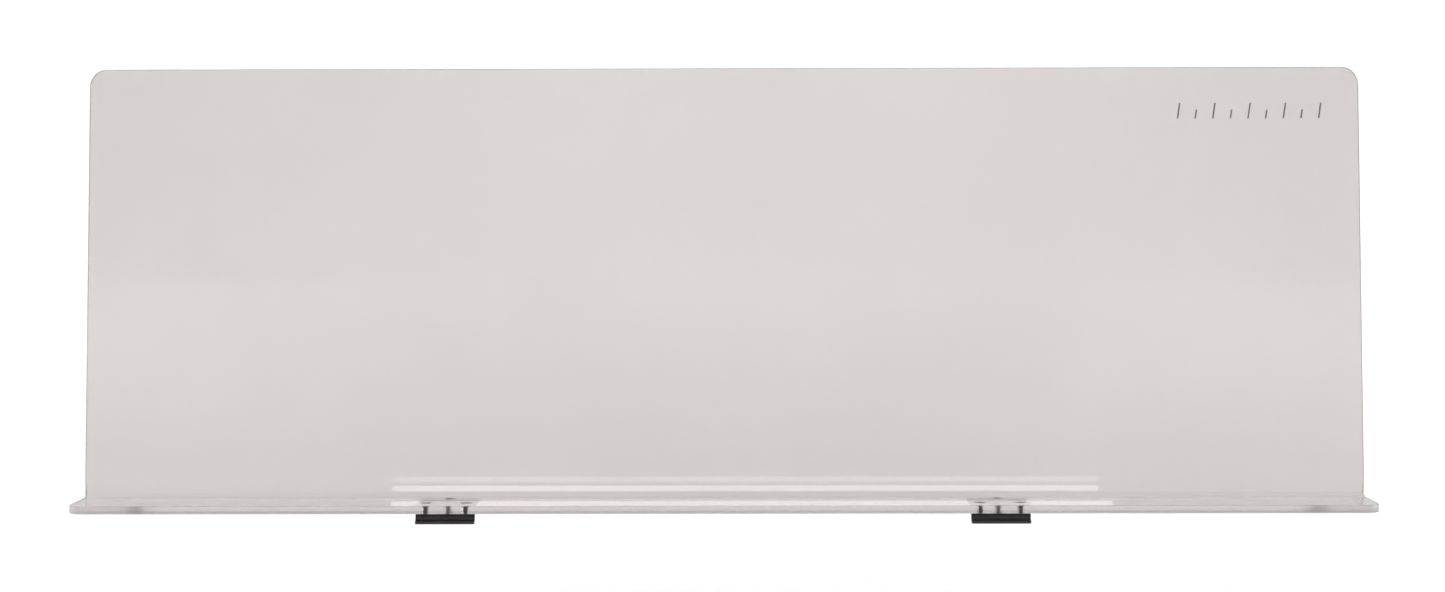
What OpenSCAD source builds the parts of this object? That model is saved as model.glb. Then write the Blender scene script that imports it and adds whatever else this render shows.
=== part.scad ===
// Clear music rest: one heat-bent acrylic sheet on two hook clips.
//
// Axes: +X to the reader's right, +Y away from the reader, +Z up.
// The origin lies midway between the clips, where the seat plane of their pads
// (z = 0) meets the front faces of their webs (y = 0). The lip of the
// instrument's top panel ends at y = 0: its top is at z = 0, and the feet of
// the clips reach forward underneath it.

/* [Acrylic sheet] */
// Width of the sheet, end to end
sheet_w = 650; // [400:1:900]
// Thickness of the sheet
sheet_t = 4; // [3:0.5:5]
// Depth of the ledge, from its front edge to where it would meet the panel
ledge_d = 43; // [43:1:70]
// Height of the panel, measured up its slope from where it would meet the ledge
panel_h = 219; // [120:1:300]
// Angle by which the panel leans back from upright
panel_lean = 6; // [0:1:25]
// Inner radius of the bend between the ledge and the panel
bend_r = 4; // [2:0.5:6]
// Radius of the sheet's four outer corners
corner_r = 9; // [2:0.5:15]

/* [Clips] */
// Distance between the middles of the two clips
clip_spacing = 276; // [120:1:340]
// Width of each clip
clip_w = 29.5; // [26:0.5:40]
// Thickness of the plate that the clips are bent from
clip_t = 1.5; // [1.2:0.1:2]
// Inner radius of the bends in the clips
clip_bend_r = 1; // [0.5:0.1:1]
// Distance of the clips' front faces behind the front edge of the ledge
clip_setback = 8; // [6:0.5:8]
// Length of the clip plate under the ledge, from the front face of the web
clip_plate_l = 31; // [30:0.5:32]
// Reach of the foot, forward of the web
foot_reach = 4; // [2.5:0.5:6]
// Thickness of the lip that the foot hooks under
lip_t = 1.5; // [1.5:0.1:3]

/* [Pads] */
// Thickness of the rubber pad under each clip
pad_t = 1; // [0.6:0.1:2]
// Distance of the pad from the sides and the back end of its clip plate
pad_margin = 2; // [1:0.5:4]
// Distance of the front edge of the pad behind the front face of the web
pad_setback = 4; // [3:0.5:6]

/* [Screws] */
// Nominal diameter of the countersunk screws
screw_d = 3; // [2.5:0.5:3]
// Diameter of the screw heads
screw_head_d = 6; // [5:0.1:6]
// Distance between the two front screws of a clip
screw_pitch = 20; // [14:0.5:20]
// Distance of the two front screws behind the front face of the web
screw_front_y = 6.5; // [5.5:0.5:8]
// Distance of the single back screw behind the front face of the web
screw_back_y = 27; // [20:0.5:27]

/* [Hidden] */
$fn = 96;
// Overshoot of cutting shapes, so that no cut ends exactly on a face
cut = 1;
// Number of flat strips that make up the bend
bend_steps = 24;
// Drop of the screw heads below the top of the ledge
head_drop = 0.1;
// Clearance all round the screws in the sheet
screw_clearance = 0.2;
// Length of the screws that lies below the sheet, in the clip plate
screw_bite = 1;
// Width across the flats and depth of the hexagon sockets
socket_af = 2;
socket_depth = 1.1;
// Radius of the rounded corners of the clip plates, feet and pads
small_corner_r = 1.5;

bend_angle = 90 - panel_lean;
// Length of ledge or panel taken up by the bend, back from where they would meet
bend_setback = bend_r * tan(bend_angle / 2);
plate_bottom_z = pad_t;
ledge_bottom_z = plate_bottom_z + clip_t;
ledge_top_z = ledge_bottom_z + sheet_t;
ledge_front_y = -clip_setback;
screw_l = sheet_t + screw_bite;
clip_outer_bend_r = clip_bend_r + clip_t;

// Edge view of the sheet, as (y, z): centre of the bend, and direction up the panel
bend_centre = [ledge_front_y + ledge_d - bend_setback, ledge_top_z + bend_r];
up_panel = [cos(bend_angle), sin(bend_angle)];

// Points round the bend at radius r, from the ledge to the panel
function bend_arc(r) = [
    for (i = [0 : bend_steps])
        let (a = i * bend_angle / bend_steps)
            bend_centre + r * [sin(a), -cos(a)]
];

// Line of one face of the sheet at radius r, from the front edge to the top edge
function face_line(r) = concat(
    [[ledge_front_y, bend_centre.y - r]],
    bend_arc(r),
    [bend_arc(r)[bend_steps] + (panel_h - bend_setback) * up_panel]
);

function reversed(list) = [for (i = [len(list) - 1 : -1 : 0]) list[i]];

// Screw positions about the middle of a clip: front left, front right, back
screw_spots = [
    [-screw_pitch / 2, screw_front_y],
    [screw_pitch / 2, screw_front_y],
    [0, screw_back_y]
];

// Moves to the middle of the left (side = -1) or right (side = 1) clip
module at_clip(side) {
    translate([side * clip_spacing / 2, 0, 0]) children();
}

// Rectangle w wide that runs from y = 0 to y = d, with round corners at y = d
module round_ended_blank(w, d, r) {
    translate([-w / 2, 0]) square([w, d - r]);
    translate([-w / 2 + r, 0]) square([w - 2 * r, d]);
    for (side = [-1, 1])
        translate([side * (w / 2 - r), d - r]) circle(r);
}

// Rectangle w by d with four round corners, from y = 0 to y = d
module round_blank(w, d, r) {
    translate([0, d / 2]) round_ended_blank(w, d / 2, r);
    translate([0, d / 2]) mirror([0, 1]) round_ended_blank(w, d / 2, r);
}

// Quarter of a bent plate seen on edge, about its centre, towards -X and +Y
module quarter_bend(r, t) {
    intersection() {
        difference() {
            circle(r + t);
            circle(r);
        }
        translate([-r - t, 0]) square(r + t);
    }
}

// Stands a profile drawn as (y, z) up and sweeps it along X, centred, w long
module sweep_across(w) {
    rotate([90, 0, 90])
        linear_extrude(w, center = true)
            children();
}

// What a round corner takes off a square one, about the centre of its arc,
// for the corner towards +X and +Y, all through a plate below z = 0
module corner_cut() {
    translate([0, 0, -sheet_t - cut])
        linear_extrude(sheet_t + 2 * cut)
            difference() {
                square(corner_r + cut);
                circle(corner_r);
            }
}

// The cuts for both corners at the far end of a plate, whose end is at y = 0
module corner_cuts() {
    for (side = [0, 1])
        mirror([side, 0, 0])
            translate([sheet_w / 2 - corner_r, -corner_r, 0])
                corner_cut();
}

// Bent sheet with square corners: its edge view, swept across
module square_sheet() {
    sweep_across(sheet_w)
        polygon(concat(face_line(bend_r), reversed(face_line(bend_r + sheet_t))));
}

// Cutting shape for one screw, with its origin at the middle of the head's top
module screw_cut() {
    shank_r = screw_d / 2 + screw_clearance;
    head_r = screw_head_d / 2 + screw_clearance;
    translate([0, 0, shank_r - head_r]) cylinder(r1 = shank_r, r2 = head_r, h = head_r - shank_r);
    cylinder(r = head_r, h = cut);
    translate([0, 0, -sheet_t - cut]) cylinder(r = shank_r, h = sheet_t + cut);
}

module rest_sheet() {
    color([0.86, 0.84, 0.83, 0.5])
        difference() {
            square_sheet();
            // Front corners of the ledge
            translate([0, ledge_front_y, ledge_top_z])
                mirror([0, 1, 0])
                    corner_cuts();
            // Top corners of the panel
            translate([0, ledge_front_y + ledge_d, ledge_top_z])
                rotate([bend_angle, 0, 0])
                    translate([0, panel_h, 0])
                        corner_cuts();
            for (side = [-1, 1], spot = screw_spots)
                at_clip(side)
                    translate([spot.x, spot.y, ledge_top_z - head_drop])
                        screw_cut();
        }
}

// Edge view of a clip, as (y, z): plate at the top, web down, foot forward
module clip_profile() {
    foot_top_z = -lip_t;
    // Plate, behind the upper bend
    translate([clip_outer_bend_r, plate_bottom_z])
        square([clip_plate_l - clip_outer_bend_r, clip_t]);
    translate([clip_outer_bend_r, plate_bottom_z - clip_bend_r])
        quarter_bend(clip_bend_r, clip_t);
    // Web
    translate([0, foot_top_z + clip_bend_r])
        square([clip_t, plate_bottom_z - foot_top_z - 2 * clip_bend_r]);
    // Foot, in front of the lower bend
    translate([-clip_bend_r, foot_top_z + clip_bend_r])
        rotate(180)
            quarter_bend(clip_bend_r, clip_t);
    translate([-foot_reach, foot_top_z - clip_t])
        square([foot_reach - clip_bend_r, clip_t]);
}

// Hook clip, bent from one plate, with a tapped hole for each screw
module clip() {
    color([0.11, 0.11, 0.12])
        difference() {
            intersection() {
                sweep_across(clip_w) clip_profile();
                translate([0, -foot_reach, -lip_t - clip_t - cut])
                    linear_extrude(lip_t + clip_t + ledge_bottom_z + 2 * cut)
                        round_blank(clip_w, foot_reach + clip_plate_l, small_corner_r);
            }
            for (spot = screw_spots)
                translate([spot.x, spot.y, plate_bottom_z - cut])
                    cylinder(d = screw_d, h = clip_t + 2 * cut);
        }
}

// Self-adhesive rubber pad under a clip plate, over the ends of its screws
module pad() {
    color([0.05, 0.05, 0.05])
        translate([0, pad_setback, 0])
            linear_extrude(pad_t)
                round_blank(
                    clip_w - 2 * pad_margin,
                    clip_plate_l - pad_setback - pad_margin,
                    small_corner_r
                );
}

// Countersunk socket screw, with its origin at the middle of the head's top
module screw() {
    shank_r = screw_d / 2;
    head_r = screw_head_d / 2;
    color([0.25, 0.25, 0.26])
        difference() {
            union() {
                translate([0, 0, shank_r - head_r])
                    cylinder(r1 = shank_r, r2 = head_r, h = head_r - shank_r);
                translate([0, 0, -screw_l]) cylinder(r = shank_r, h = screw_l - head_r + shank_r);
            }
            translate([0, 0, -socket_depth])
                cylinder(d = socket_af / cos(30), h = socket_depth + cut, $fn = 6);
        }
}

// Screw number 1, 2 or 3 of the left or right clip, in place
module placed_screw(side, number) {
    spot = screw_spots[number - 1];
    at_clip(side)
        translate([spot.x, spot.y, ledge_top_z - head_drop])
            screw();
}

rest_sheet();
at_clip(-1) clip();  // left_clip
at_clip(1) clip();  // right_clip
at_clip(-1) pad();  // left_pad
at_clip(1) pad();  // right_pad
for (number = [1, 2, 3]) {
    placed_screw(-1, number);
    placed_screw(1, number);
}
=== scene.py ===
"""Looks of the clear music rest: a bent acrylic sheet, screwed to two black hook clips.

Everything is in metres in the CAD frame: +X to the reader's right, +Y away from the reader, +Z up.
Every piece but the print stands for one CAD node, and takes its place and size from its box.
"""

import math

import bmesh
import bpy
from mathutils import Matrix, Vector


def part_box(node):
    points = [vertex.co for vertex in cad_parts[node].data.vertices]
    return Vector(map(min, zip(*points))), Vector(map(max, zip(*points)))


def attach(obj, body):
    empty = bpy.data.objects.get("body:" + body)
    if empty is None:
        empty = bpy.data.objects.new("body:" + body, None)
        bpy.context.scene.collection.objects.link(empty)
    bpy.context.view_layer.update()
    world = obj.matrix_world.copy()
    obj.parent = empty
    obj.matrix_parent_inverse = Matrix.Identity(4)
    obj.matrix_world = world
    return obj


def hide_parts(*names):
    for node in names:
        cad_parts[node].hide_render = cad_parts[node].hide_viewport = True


MM = 0.001
# How far cutting shapes reach past what they cut
OVERCUT = 1 * MM

# Sheet, as in the CAD part
SHEET_T = 4 * MM
PANEL_LEAN = math.radians(6)
CORNER_R = 9 * MM
EDGE_R = 0.25 * MM
# The bend: half-length of its tight middle, then the soft zone that runs on up the panel,
# and how far the sheet turns in that zone
BEND_CORE = 2.7 * MM
BEND_TAIL = 17 * MM
TAIL_TURN = math.radians(7.2)
# Edges across the bend: how many, the evenly spaced share, and how they crowd at its start
BEND_ROWS = 72
EVEN_SHARE = 0.45
ROW_CROWDING = 2.2
# How much thinner the sheet is at the bend, and how far that reaches down and up
BEND_THINNING = 0.45 * MM
THINNING_REACH = (5 * MM, 11 * MM)
# How far the ends of the sheet draw in at the bend, the share of that on the reader's face,
# and how far it reaches down and up
END_PINCH = 0.9 * MM
PINCH_ON_TOP = 0.35
PINCH_REACH = 2.2 * BEND_CORE
# Mesh attribute, 1 on the cut and polished edges of the sheet, 0 on its faces
CUT_EDGE = "cut_edge"
EDGE_ROUGHNESS = 0.2

# Print on the panel, a generic stand-in: slanted bars, long and short by turns
MARK_BARS = 9
MARK_SPACING = 9 * MM
MARK_STROKE = 0.8 * MM
MARK_HEIGHTS = (8 * MM, 4.5 * MM)
MARK_SLANT = 0.15
# From the last bar to the end of the sheet, and from the foot of the bars to its top edge
MARK_INSET = (21 * MM, 26.5 * MM)
PRINT_T = 0.02 * MM

# Clips, pads and screws, as in the CAD part
CLIP_T = 1.5 * MM
CLIP_BEND_R = 1 * MM
CLIP_CORNER_R = 1.5 * MM
# Gap of air under the sheet, so that a clip's plate never shares a face with it
AIR_GAP = 0.03 * MM
SCREW_R = 1.5 * MM
SCREW_HEAD_R = 3 * MM
SCREW_CLEARANCE = 0.2 * MM
SOCKET_AF = 2 * MM
SOCKET_DEPTH = 1.1 * MM
THREAD_PITCH = 0.5 * MM
THREAD_DEPTH = 0.22 * MM
# Share of the full radius at the screw's tip, and how much of it each turn gains from there
TIP_SHARE = 0.78
TIP_GROWTH = 0.25

# Studio
LIGHT_BOUNCES = 28
FLOOR_Z = -0.08
CAMERA_PLACE = (0.013, -1.483, 0.1725)
CAMERA_LENS = 74.74
# Degrees: pitched down, turned to the left, rolled clockwise
CAMERA_PITCH, CAMERA_TURN, CAMERA_ROLL = 2.42, 0.5, 0.12


# ---------------------------------------------------------------- meshes


def new_object(name, mesh):
    """A scene object for the mesh."""
    made = bpy.data.objects.new(name, mesh)
    bpy.context.scene.collection.objects.link(made)
    return made


def mesh_object(name, bm):
    """A scene object from a bmesh, which is freed."""
    bmesh.ops.recalc_face_normals(bm, faces=bm.faces)
    mesh = bpy.data.meshes.new(name)
    bm.to_mesh(mesh)
    bm.free()
    return new_object(name, mesh)


def bake_modifiers(made):
    """Turns the object's modifiers into plain mesh."""
    graph = bpy.context.evaluated_depsgraph_get()
    baked = bpy.data.meshes.new_from_object(made.evaluated_get(graph))
    baked.name = made.name
    made.modifiers.clear()
    made.data = baked


def cut_with(made, cutters, operation="DIFFERENCE"):
    """Cuts the object with each cutter in turn, and removes the cutters."""
    for cutter in cutters:
        step = made.modifiers.new("cut", "BOOLEAN")
        step.solver = "EXACT"
        step.operation = operation
        step.object = cutter
        bake_modifiers(made)
        bpy.data.objects.remove(cutter)


def soften(made, width, segments=2, angle=math.radians(35)):
    """Rounds the sharp edges of a finished mesh."""
    step = made.modifiers.new("soft edges", "BEVEL")
    step.width = width
    step.segments = segments
    step.limit_method = "ANGLE"
    step.angle_limit = angle
    bake_modifiers(made)


def shade(made, angle=math.radians(40)):
    """Smooth shading that keeps flat faces flat and edges over the angle sharp."""
    made.data.shade_smooth()
    made.data.set_sharp_from_angle(angle=angle)
    step = made.modifiers.new("flat faces lead", "WEIGHTED_NORMAL")
    step.keep_sharp = True
    step.weight = 100
    bake_modifiers(made)


def rounded_outline(low, high, radius, steps=10):
    """Points round a rectangle with round corners, anticlockwise."""
    points = []
    corners = [
        (high[0] - radius, high[1] - radius, 0),
        (low[0] + radius, high[1] - radius, 90),
        (low[0] + radius, low[1] + radius, 180),
        (high[0] - radius, low[1] + radius, 270),
    ]
    for centre_a, centre_b, start in corners:
        for i in range(steps + 1):
            angle = math.radians(start + 90 * i / steps)
            points.append((centre_a + radius * math.cos(angle), centre_b + radius * math.sin(angle)))
    return points


def extruded(points, vector):
    """A bmesh solid: the polygon through the points, swept along the vector."""
    bm = bmesh.new()
    base = bm.faces.new([bm.verts.new(p) for p in points])
    grown = bmesh.ops.extrude_face_region(bm, geom=[base], use_keep_orig=True)
    moved = [v for v in grown["geom"] if isinstance(v, bmesh.types.BMVert)]
    bmesh.ops.translate(bm, verts=moved, vec=vector)
    bmesh.ops.recalc_face_normals(bm, faces=bm.faces)
    return bm


def lathe(profile, place, steps=64):
    """A closed solid turned about a vertical axis, from (radius, height) pairs, axis to axis."""
    bm = bmesh.new()
    rings = []
    for radius, height in profile:
        if radius == 0:
            rings.append([bm.verts.new(Vector(place) + Vector((0, 0, height)))])
            continue
        ring = []
        for i in range(steps):
            angle = 2 * math.pi * i / steps
            offset = Vector((radius * math.cos(angle), radius * math.sin(angle), height))
            ring.append(bm.verts.new(Vector(place) + offset))
        rings.append(ring)
    join_rings(bm, rings)
    return bm


def join_rings(bm, rings):
    """Faces between rings of vertices that follow each other; a ring of one vertex is a tip."""
    for lower, upper in zip(rings, rings[1:]):
        count = max(len(lower), len(upper))
        for i in range(count):
            j = (i + 1) % count
            below = [lower[i % len(lower)], lower[j % len(lower)]]
            above = [upper[j % len(upper)], upper[i % len(upper)]]
            bm.faces.new(list(dict.fromkeys(below + above)))


# ---------------------------------------------------------------- materials


def new_material(name):
    """An empty node material: its nodes, its links and its Principled shader."""
    material = bpy.data.materials.new(name)
    material.use_nodes = True
    tree = material.node_tree
    return material, tree, tree.nodes["Principled BSDF"]


def add_noise(tree, scale, detail=3.0, roughness=0.55, stretch=(1, 1, 1)):
    """A noise texture in object coordinates, in repeats per metre."""
    place = tree.nodes.new("ShaderNodeTexCoord")
    mapping = tree.nodes.new("ShaderNodeMapping")
    mapping.inputs["Scale"].default_value = stretch
    texture = tree.nodes.new("ShaderNodeTexNoise")
    texture.inputs["Scale"].default_value = scale
    texture.inputs["Detail"].default_value = detail
    texture.inputs["Roughness"].default_value = roughness
    tree.links.new(place.outputs["Object"], mapping.inputs["Vector"])
    tree.links.new(mapping.outputs["Vector"], texture.inputs["Vector"])
    return texture.outputs["Fac"]


def add_ramp(tree, value, low, high, span=(0.3, 0.7)):
    """A colour ramp from low to high over the span of the value."""
    ramp = tree.nodes.new("ShaderNodeValToRGB")
    for element, place, colour in zip(ramp.color_ramp.elements, span, (low, high)):
        element.position = place
        element.color = (*colour, 1)
    tree.links.new(value, ramp.inputs["Fac"])
    return ramp.outputs["Color"]


def add_range(tree, value, low, high):
    """The value, mapped from 0..1 to low..high."""
    mapped = tree.nodes.new("ShaderNodeMapRange")
    mapped.inputs["To Min"].default_value = low
    mapped.inputs["To Max"].default_value = high
    tree.links.new(value, mapped.inputs["Value"])
    return mapped.outputs["Result"]


def add_bump(tree, shader, height, strength, distance):
    """Bump from the height value, on the shader's normal."""
    bump = tree.nodes.new("ShaderNodeBump")
    bump.inputs["Strength"].default_value = strength
    bump.inputs["Distance"].default_value = distance
    tree.links.new(height, bump.inputs["Height"])
    tree.links.new(bump.outputs["Normal"], shader.inputs["Normal"])


def acrylic_tint(tree):
    """A warm grey, a little cloudy."""
    cloudy = add_noise(tree, 9, detail=4)
    return add_ramp(tree, cloudy, (0.577, 0.543, 0.536), (0.595, 0.564, 0.556))


def acrylic_roughness(tree):
    """Nearly none on the faces, apart from smudges, and more on the cut edges."""
    smudges = add_noise(tree, 26, detail=5, roughness=0.65)
    cut_edge = tree.nodes.new("ShaderNodeAttribute")
    cut_edge.attribute_name = CUT_EDGE
    roughness = tree.nodes.new("ShaderNodeMath")
    roughness.operation = "MULTIPLY_ADD"
    roughness.inputs[1].default_value = EDGE_ROUGHNESS
    tree.links.new(cut_edge.outputs["Fac"], roughness.inputs[0])
    tree.links.new(add_range(tree, smudges, 0.0, 0.03), roughness.inputs[2])
    return roughness.outputs["Value"]


def acrylic():
    """Lightly smoked clear acrylic with slight waves."""
    material, tree, shader = new_material("clear_acrylic")
    shader.inputs["Transmission Weight"].default_value = 1
    shader.inputs["IOR"].default_value = 1.49
    tree.links.new(acrylic_tint(tree), shader.inputs["Base Color"])
    tree.links.new(acrylic_roughness(tree), shader.inputs["Roughness"])
    wavy = add_noise(tree, 7, detail=1)
    add_bump(tree, shader, wavy, 0.05, 0.2 * MM)
    return material


def print_ink():
    """Thin grey ink, slightly uneven."""
    material, tree, shader = new_material("grey_ink")
    uneven = add_noise(tree, 900, detail=2)
    grey = add_ramp(tree, uneven, (0.15, 0.14, 0.14), (0.21, 0.20, 0.20))
    tree.links.new(grey, shader.inputs["Base Color"])
    tree.links.new(add_range(tree, uneven, 0.45, 0.6), shader.inputs["Roughness"])
    return material


def black_paint():
    """Satin black powder coat: a fine pebbled surface, a little lighter where it is thin."""
    material, tree, shader = new_material("black_powder_coat")
    grain = add_noise(tree, 2600, detail=2)
    patches = add_noise(tree, 160, detail=3)
    black = add_ramp(tree, patches, (0.011, 0.011, 0.012), (0.018, 0.018, 0.019))
    tree.links.new(black, shader.inputs["Base Color"])
    tree.links.new(add_range(tree, patches, 0.26, 0.36), shader.inputs["Roughness"])
    add_bump(tree, shader, grain, 0.25, 0.03 * MM)
    return material


def rubber():
    """Dull black rubber with a fine leathery grain."""
    material, tree, shader = new_material("black_rubber")
    grain = add_noise(tree, 1800, detail=4)
    black = add_ramp(tree, grain, (0.012, 0.012, 0.012), (0.026, 0.026, 0.027))
    tree.links.new(black, shader.inputs["Base Color"])
    tree.links.new(add_range(tree, grain, 0.72, 0.9), shader.inputs["Roughness"])
    add_bump(tree, shader, grain, 0.5, 0.08 * MM)
    return material


def screw_steel():
    """Blackened steel, with fine turning marks around the axis and thin spots in the finish."""
    material, tree, shader = new_material("screw_steel")
    shader.inputs["Metallic"].default_value = 1
    marks = add_noise(tree, 900, detail=3, stretch=(1, 1, 9))
    stains = add_noise(tree, 300, detail=2)
    finish = add_ramp(tree, stains, (0.045, 0.045, 0.048), (0.11, 0.11, 0.115))
    tree.links.new(finish, shader.inputs["Base Color"])
    tree.links.new(add_range(tree, marks, 0.3, 0.48), shader.inputs["Roughness"])
    add_bump(tree, shader, marks, 0.2, 0.01 * MM)
    return material


def studio_white():
    """Matt white paper, with a barely visible tooth."""
    material, tree, shader = new_material("studio_white")
    tooth = add_noise(tree, 60, detail=2)
    white = add_ramp(tree, tooth, (0.90, 0.90, 0.90), (0.92, 0.92, 0.92))
    tree.links.new(white, shader.inputs["Base Color"])
    shader.inputs["Roughness"].default_value = 0.9
    return material


# ---------------------------------------------------------------- sheet


def smooth_step(u):
    """0 below 0, 1 above 1, and a smooth rise between."""
    u = min(max(u, 0), 1)
    return u * u * (3 - 2 * u)


def bell(u):
    """1 at 0, falling off smoothly on both sides."""
    return math.exp(-u * u)


class BentSheet:
    """The sheet's shape: a flat blank, (x, along, below), and how it bends.

    along runs from the front edge of the ledge to the top edge of the panel, on the reader's
    face, and below is the depth under that face.
    """

    STEPS = 800

    def __init__(self):
        low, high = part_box("rest_sheet")
        self.width = high.x - low.x
        self.front_y = low.y
        self.top_z = low.z + SHEET_T
        self.turn = math.pi / 2 - PANEL_LEAN
        panel_h = (high.z - self.top_z) / math.sin(self.turn)
        corner_y = high.y - panel_h * math.cos(self.turn) - SHEET_T * math.sin(self.turn)
        self.bend_l = BEND_CORE + BEND_TAIL
        self.trace_bend()
        # What the bend takes up of the panel and of the ledge, from where they would meet
        forward, up = self.bend[-1]
        from_panel = up / math.sin(self.turn)
        from_ledge = forward - from_panel * math.cos(self.turn)
        self.ledge_l = corner_y - from_ledge - self.front_y
        self.length = self.ledge_l + self.bend_l + panel_h - from_panel

    def angle(self, into_bend):
        """How far the face has turned, that far into the bend."""
        core = smooth_step(into_bend / (2 * BEND_CORE))
        tail = smooth_step((into_bend - BEND_CORE) / BEND_TAIL)
        return (self.turn - TAIL_TURN) * core + TAIL_TURN * tail

    def trace_bend(self):
        """Points (forward, up) of the face along the bend, in equal steps."""
        step = self.bend_l / self.STEPS
        self.bend = [(0.0, 0.0)]
        for i in range(self.STEPS):
            angle = self.angle((i + 0.5) * step)
            y, z = self.bend[-1]
            self.bend.append((y + step * math.cos(angle), z + step * math.sin(angle)))

    def from_middle(self, along):
        """Distance up from the middle of the bend, or down to it if negative."""
        return along - self.ledge_l - BEND_CORE

    def place(self, x, along, below):
        """Where a point of the flat blank ends up."""
        past = along - self.ledge_l
        inside = min(max(past, 0), self.bend_l)
        beyond = past - inside
        at = inside / self.bend_l * self.STEPS
        i = min(int(at), self.STEPS - 1)
        y0, z0 = self.bend[i]
        y1, z1 = self.bend[i + 1]
        angle = self.angle(inside)
        y = y0 + (y1 - y0) * (at - i) + beyond * math.cos(angle) + below * math.sin(angle)
        z = z0 + (z1 - z0) * (at - i) + beyond * math.sin(angle) - below * math.cos(angle)
        return Vector((x, self.front_y + self.ledge_l + y, self.top_z + z))

    def rows(self):
        """Places along the blank where it needs an edge across, closer in the tight middle."""
        spread = []
        for i in range(BEND_ROWS + 1):
            u = i / BEND_ROWS
            share = EVEN_SHARE * u + (1 - EVEN_SHARE) * u**ROW_CROWDING
            spread.append(self.ledge_l + self.bend_l * share)
        return spread

    def drawn(self, x, along, below):
        """The blank's point after the hot bend has drawn in: its ends and its outer face."""
        up = self.from_middle(along)
        thinned = BEND_THINNING * bell(up / THINNING_REACH[up > 0])
        depth_share = PINCH_ON_TOP + (1 - PINCH_ON_TOP) * below / SHEET_T
        pinched = END_PINCH * bell(up / PINCH_REACH) * depth_share
        return x * (1 - pinched / (self.width / 2)), along, below * (1 - thinned / SHEET_T)


def mark_cut_edges(bm):
    """Marks the faces round the outline of a flat blank, for the material to find."""
    marks = bm.faces.layers.float.new(CUT_EDGE)
    bm.normal_update()
    for face in bm.faces:
        face[marks] = 1 if abs(face.normal.z) < 0.5 else 0


def flat_blank(shape):
    """The blank before bending: round corners, polished edges, and a row of edges over the bend."""
    half = shape.width / 2
    outline = rounded_outline((-half, 0), (half, shape.length), CORNER_R, steps=12)
    bm = extruded([(x, along, 0) for x, along in outline], (0, 0, -SHEET_T))
    rims = [e for e in bm.edges if abs(e.verts[0].co.z - e.verts[1].co.z) < SHEET_T / 2]
    bmesh.ops.bevel(bm, geom=rims, offset=EDGE_R, segments=3, profile=0.5, affect="EDGES")
    mark_cut_edges(bm)
    for along in shape.rows():
        everything = bm.verts[:] + bm.edges[:] + bm.faces[:]
        bmesh.ops.bisect_plane(bm, geom=everything, dist=1e-7, plane_co=(0, along, 0), plane_no=(0, 1, 0))
    return bm


def screw_places():
    """The middle of each screw's head, by CAD node."""
    places = {}
    for side in ("left", "right"):
        for number in (1, 2, 3):
            node = f"{side}_screw_{number}"
            low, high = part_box(node)
            places[node] = Vector(((low.x + high.x) / 2, (low.y + high.y) / 2, high.z))
    return places


def screw_hole(place):
    """Cutter for a screw's countersunk hole."""
    shank = SCREW_R + SCREW_CLEARANCE
    head = SCREW_HEAD_R + SCREW_CLEARANCE
    bottom, top = -2 * SHEET_T, SHEET_T
    profile = [(0, bottom), (shank, bottom), (shank, shank - head), (head, 0), (head, top), (0, top)]
    return mesh_object("hole", lathe(profile, place))


def rest_sheet(shape):
    """The bent sheet, with its countersunk holes."""
    bm = flat_blank(shape)
    for vertex in bm.verts:
        x, along, up = vertex.co
        vertex.co = shape.place(*shape.drawn(x, along, -up))
    sheet = mesh_object("sheet", bm)
    cut_with(sheet, [screw_hole(place) for place in screw_places().values()])
    shade(sheet, angle=math.radians(30))
    return sheet


def printed_mark(shape):
    """A plain row of slanted bars, long and short by turns, near the panel's top right corner."""
    first_x = shape.width / 2 - MARK_INSET[0] - (MARK_BARS - 1) * MARK_SPACING
    base = shape.length - MARK_INSET[1]
    bm = bmesh.new()
    for i in range(MARK_BARS):
        x = first_x + i * MARK_SPACING
        height = MARK_HEIGHTS[i % 2]
        lean = MARK_SLANT * height
        top = base + height
        outline = [(x, base), (x + MARK_STROKE, base), (x + MARK_STROKE + lean, top), (x + lean, top)]
        front = [bm.verts.new(shape.place(a, along, -PRINT_T)) for a, along in outline]
        back = [bm.verts.new(shape.place(a, along, -PRINT_T / 4)) for a, along in outline]
        bm.faces.new(front)
        bm.faces.new(reversed(back))
        for a in range(4):
            b = (a + 1) % 4
            bm.faces.new((front[a], back[a], back[b], front[b]))
    return mesh_object("printed_bars", bm)


# ---------------------------------------------------------------- clips, pads and screws


def arc(centre, radius, start, end, steps=8):
    """Points (y, z) along an arc, from one angle to another in degrees."""
    points = []
    for i in range(steps + 1):
        angle = math.radians(start + (end - start) * i / steps)
        points.append((centre[0] + radius * math.cos(angle), centre[1] + radius * math.sin(angle)))
    return points


def clip_outline(low, high):
    """Edge view of a clip, as (y, z): plate at the top, web down, foot forward."""
    inner, outer = CLIP_BEND_R, CLIP_BEND_R + CLIP_T
    top = high.z - AIR_GAP
    # The front face of the web is at y = 0
    upper = (outer, top - outer)
    lower = (-inner, low.z + outer)
    outline = [(high.y, top - CLIP_T), (high.y, top)]
    outline += arc(upper, outer, 90, 180)
    outline += arc(lower, inner, 0, -90)
    outline += [(low.y, low.z + CLIP_T), (low.y, low.z)]
    outline += arc(lower, outer, -90, 0)
    outline += arc(upper, inner, 180, 90)
    return outline


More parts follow.
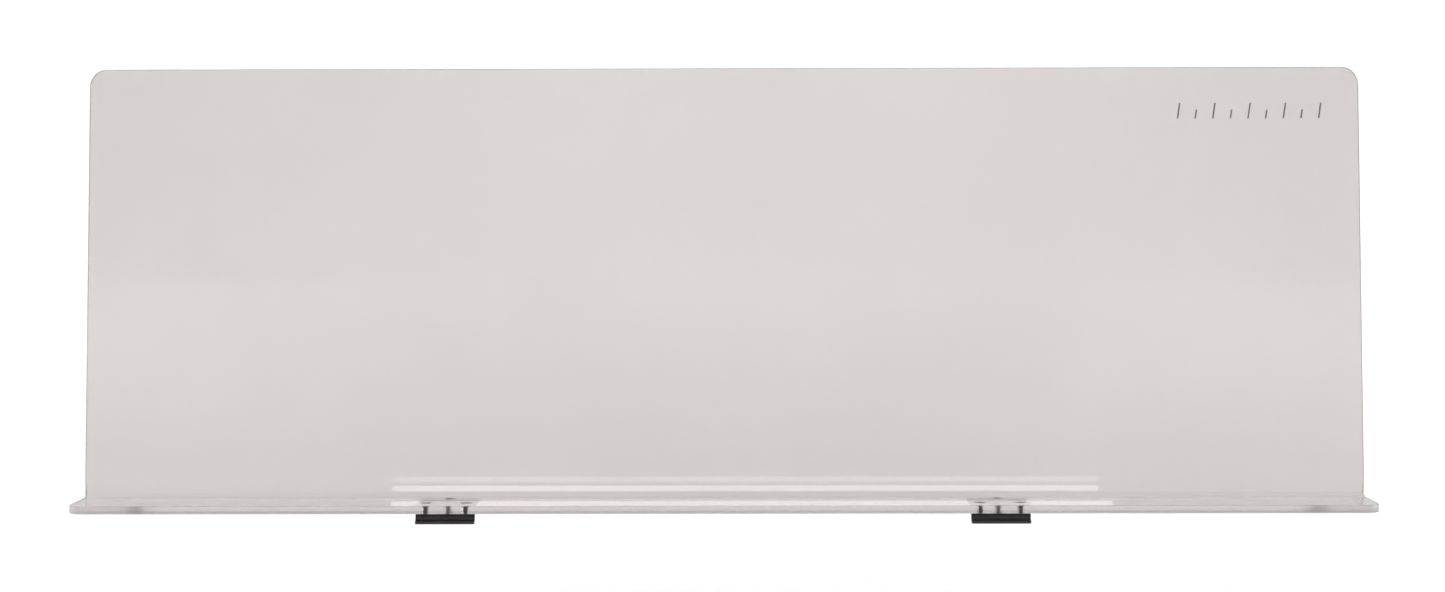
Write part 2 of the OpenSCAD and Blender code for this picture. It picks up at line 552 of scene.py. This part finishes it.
def clip(side):
    """One hook clip, with its tapped holes."""
    low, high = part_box(f"{side}_clip")
    outline = clip_outline(low, high)
    strip = extruded([(low.x, y, z) for y, z in outline], (high.x - low.x, 0, 0))
    made = mesh_object(f"{side}_hook", strip)
    plan = rounded_outline(low.xy, high.xy, CLIP_CORNER_R)
    bottom, top = low.z - OVERCUT, high.z + OVERCUT
    blank = extruded([(x, y, bottom) for x, y in plan], (0, 0, top - bottom))
    cut_with(made, [mesh_object("blank", blank)], "INTERSECT")
    soften(made, 0.3 * MM, segments=3)
    drill = [(0, low.z), (SCREW_R, low.z), (SCREW_R, top), (0, top)]
    drills = []
    for node, place in screw_places().items():
        if node.startswith(side):
            drills.append(mesh_object("drill", lathe(drill, (place.x, place.y, 0), steps=48)))
    cut_with(made, drills)
    shade(made)
    return made


def pad(side):
    """One thin rubber pad, with soft edges."""
    low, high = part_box(f"{side}_pad")
    plan = rounded_outline(low.xy, high.xy, CLIP_CORNER_R)
    slab = extruded([(x, y, low.z) for x, y in plan], (0, 0, high.z - low.z))
    made = mesh_object(f"{side}_rubber", slab)
    soften(made, 0.25 * MM, segments=3, angle=math.radians(50))
    shade(made)
    return made


def thread_radius(angle, height):
    """Radius of the threaded shank at an angle and a height: a V thread, flat at crest and root."""
    flank_top, flank_slope = 1.15, 2.6
    turn = (height / THREAD_PITCH - angle / (2 * math.pi)) % 1
    crest = min(1, max(0, flank_top - flank_slope * abs(turn - 0.5)))
    return SCREW_R - THREAD_DEPTH * (1 - crest)


def screw_shank(place, length, steps=40, rows_per_turn=8):
    """The threaded part of a screw, from its tip up into the head's cone."""
    point_h = 0.1 * MM
    bm = bmesh.new()
    rows = int(length / THREAD_PITCH * rows_per_turn)
    tip = bm.verts.new(place - Vector((0, 0, length)))
    rings = [[tip]]
    for row in range(rows + 1):
        height = length * row / rows
        # The last turn at the tip is turned down to a chamfer
        chamfer = min(1, TIP_SHARE + TIP_GROWTH * height / THREAD_PITCH)
        ring = []
        for i in range(steps):
            angle = 2 * math.pi * i / steps
            radius = thread_radius(angle, height) * chamfer
            offset = Vector((radius * math.cos(angle), radius * math.sin(angle), height - length))
            ring.append(bm.verts.new(place + offset))
        rings.append(ring)
    rings.append([bm.verts.new(place + Vector((0, 0, point_h)))])
    join_rings(bm, rings)
    return bm


def screw(node, place):
    """One countersunk socket screw: threaded shank, cone, thin rim, hexagon socket."""
    tip_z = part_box(node)[0].z
    rim, ease, relief = 0.15 * MM, 0.08 * MM, 0.05 * MM
    cone_h = SCREW_HEAD_R - SCREW_R
    profile = [
        (0, -cone_h - rim),
        (SCREW_R - relief, -cone_h - rim),
        (SCREW_R, -cone_h),
        (SCREW_HEAD_R, -rim),
        (SCREW_HEAD_R, -ease),
        (SCREW_HEAD_R - ease, 0),
        (0, 0),
    ]
    made = mesh_object(node.replace("screw", "bolt"), lathe(profile, place))
    socket_r = SOCKET_AF / 2 / math.cos(math.radians(30))
    hexagon = []
    for i in range(6):
        angle = math.radians(60 * i + 30)
        corner = Vector((socket_r * math.cos(angle), socket_r * math.sin(angle), -SOCKET_DEPTH))
        hexagon.append(place + corner)
    cut_with(made, [mesh_object("socket", extruded(hexagon, (0, 0, 2 * SOCKET_DEPTH)))])
    soften(made, 0.05 * MM, segments=2)
    neck = place - Vector((0, 0, cone_h + rim / 2))
    shank = mesh_object("shank", screw_shank(neck, neck.z - tip_z))
    cut_with(made, [shank], "UNION")
    shade(made, angle=math.radians(50))
    return made


# ---------------------------------------------------------------- studio


def sweep():
    """Seamless white bowl: a round floor whose rim curves up into a wall, well clear of the object."""
    floor_r, curve_r, height, sides = 5.8, 1.2, 4.4, 128
    profile = [(0, FLOOR_Z), (floor_r / 2, FLOOR_Z), (floor_r, FLOOR_Z)]
    profile += arc((floor_r, FLOOR_Z + curve_r), curve_r, -90, 0, steps=24)[1:]
    profile.append((floor_r + curve_r, height))
    made = mesh_object("studio_sweep", lathe(profile, (0, 0, 0), steps=sides))
    made.data.shade_smooth()
    made.data.materials.append(studio_white())


def softbox(name, place, target, size, power):
    """A softbox at the place, turned to the target, with its (width, height) and its watts."""
    light = bpy.data.lights.new(name, "AREA")
    light.shape = "RECTANGLE"
    light.size, light.size_y = size
    light.energy = power
    made = new_object(name, light)
    made.location = place
    made.rotation_mode = "QUATERNION"
    made.rotation_quaternion = (Vector(target) - Vector(place)).to_track_quat("-Z", "Y")
    made.visible_camera = False


def flag_grey():
    """Grey felt of a studio flag."""
    material, tree, shader = new_material("flag_grey")
    felt = add_noise(tree, 40, detail=2)
    grey = add_ramp(tree, felt, (0.48, 0.48, 0.48), (0.52, 0.52, 0.52))
    tree.links.new(grey, shader.inputs["Base Color"])
    shader.inputs["Roughness"].default_value = 0.95
    return material


def flag(name, inner_x):
    """A grey flag near the back wall, from inner_x outwards, which only the ledge's end mirrors."""
    width, thickness = 0.5, 0.02
    front_y, low_z, high_z = 6.6, 0.66, 1.02
    outer_x = inner_x + math.copysign(width, inner_x)
    edges = [(inner_x, low_z), (outer_x, low_z), (outer_x, high_z), (inner_x, high_z)]
    made = mesh_object(name, extruded([(x, front_y, z) for x, z in edges], (0, thickness, 0)))
    made.data.materials.append(flag_grey())
    made.visible_camera = False
    made.visible_shadow = False
    made.visible_diffuse = False


def surroundings():
    """Light grey all round, darker between the horizon and the bright ceiling."""
    world = bpy.data.worlds.new("studio")
    bpy.context.scene.world = world
    world.use_nodes = True
    tree = world.node_tree
    direction = tree.nodes.new("ShaderNodeTexCoord")
    parts = tree.nodes.new("ShaderNodeSeparateXYZ")
    ramp = tree.nodes.new("ShaderNodeValToRGB")
    # Stops: sine of the elevation, brightness
    stops = [(0.0, 0.83), (0.35, 0.83), (0.5, 0.39), (0.8, 0.39), (0.9, 1.0), (1.0, 1.0)]
    while len(ramp.color_ramp.elements) < len(stops):
        ramp.color_ramp.elements.new(0.5)
    for element, (place, value) in zip(ramp.color_ramp.elements, stops):
        element.position = place
        element.color = (value, value, value, 1)
    tree.links.new(direction.outputs["Generated"], parts.inputs["Vector"])
    tree.links.new(parts.outputs["Z"], ramp.inputs["Fac"])
    background = tree.nodes["Background"]
    background.inputs["Strength"].default_value = 1.15
    tree.links.new(ramp.outputs["Color"], background.inputs["Color"])


def lights():
    """Softboxes over the camera, behind the object and on both sides, and one on the back wall."""
    surroundings()
    # Name, place, target, width and height, watts
    softbox("front_softbox", (0.005, -4.0, 1.385), (0, 0.1, 0.02), (1.36, 0.26), 4.6)
    softbox("back_softbox", (0.02, 6.8, 0.75), (0, 0, 0.3), (2.0, 0.5), 2.4)
    softbox("left_softbox", (-3.2, 1.6, 2.2), (0, 1.8, FLOOR_Z), (1.6, 1.6), 62)
    softbox("right_softbox", (3.2, 1.6, 2.2), (0, 1.8, FLOOR_Z), (1.6, 1.6), 62)
    softbox("wall_wash", (0, 4.2, 3.6), (0, 7.0, 0.9), (7.0, 0.6), 70)


def camera():
    """The camera, at the angle from which the object is seen."""
    data = bpy.data.cameras.new("camera")
    data.lens = CAMERA_LENS
    data.sensor_width = 36
    made = new_object("camera", data)
    turn = Matrix.Rotation(math.radians(CAMERA_TURN), 4, "Z")
    pitch = Matrix.Rotation(math.radians(90 - CAMERA_PITCH), 4, "X")
    roll = Matrix.Rotation(math.radians(-CAMERA_ROLL), 4, "Z")
    made.matrix_world = Matrix.Translation(CAMERA_PLACE) @ turn @ pitch @ roll
    bpy.context.scene.camera = made


def light_paths():
    """Enough bounces for light that is guided along inside the clear sheet."""
    paths = bpy.context.scene.cycles
    paths.max_bounces = LIGHT_BOUNCES
    paths.glossy_bounces = LIGHT_BOUNCES
    paths.transmission_bounces = LIGHT_BOUNCES


# ---------------------------------------------------------------- scene


def show(made, node, material):
    """Puts a finished piece in the place of its CAD node."""
    made.data.materials.clear()
    made.data.materials.append(material)
    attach(made, "root")
    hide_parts(node)


def corners(box):
    """A box as two plain lists of numbers."""
    return [list(corner) for corner in box]


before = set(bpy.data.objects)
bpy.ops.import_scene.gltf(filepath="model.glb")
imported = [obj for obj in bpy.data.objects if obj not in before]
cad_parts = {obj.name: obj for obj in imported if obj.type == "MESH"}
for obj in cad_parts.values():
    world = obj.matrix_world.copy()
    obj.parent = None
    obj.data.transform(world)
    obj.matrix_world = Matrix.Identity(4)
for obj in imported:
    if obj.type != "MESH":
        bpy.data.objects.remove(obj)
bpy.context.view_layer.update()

bpy.context.scene.view_settings.view_transform = "Standard"
light_paths()
camera()
lights()
sweep()
flag("left_flag", -1.785)
flag("right_flag", 1.67)

sheet_shape = BentSheet()
show(rest_sheet(sheet_shape), "rest_sheet", acrylic())
mark = printed_mark(sheet_shape)
mark.data.materials.append(print_ink())
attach(mark, "root")
paint, pad_rubber, steel = black_paint(), rubber(), screw_steel()
for side in ("left", "right"):
    show(clip(side), f"{side}_clip", paint)
    show(pad(side), f"{side}_pad", pad_rubber)
for node, place in screw_places().items():
    show(screw(node, place), node, steel)
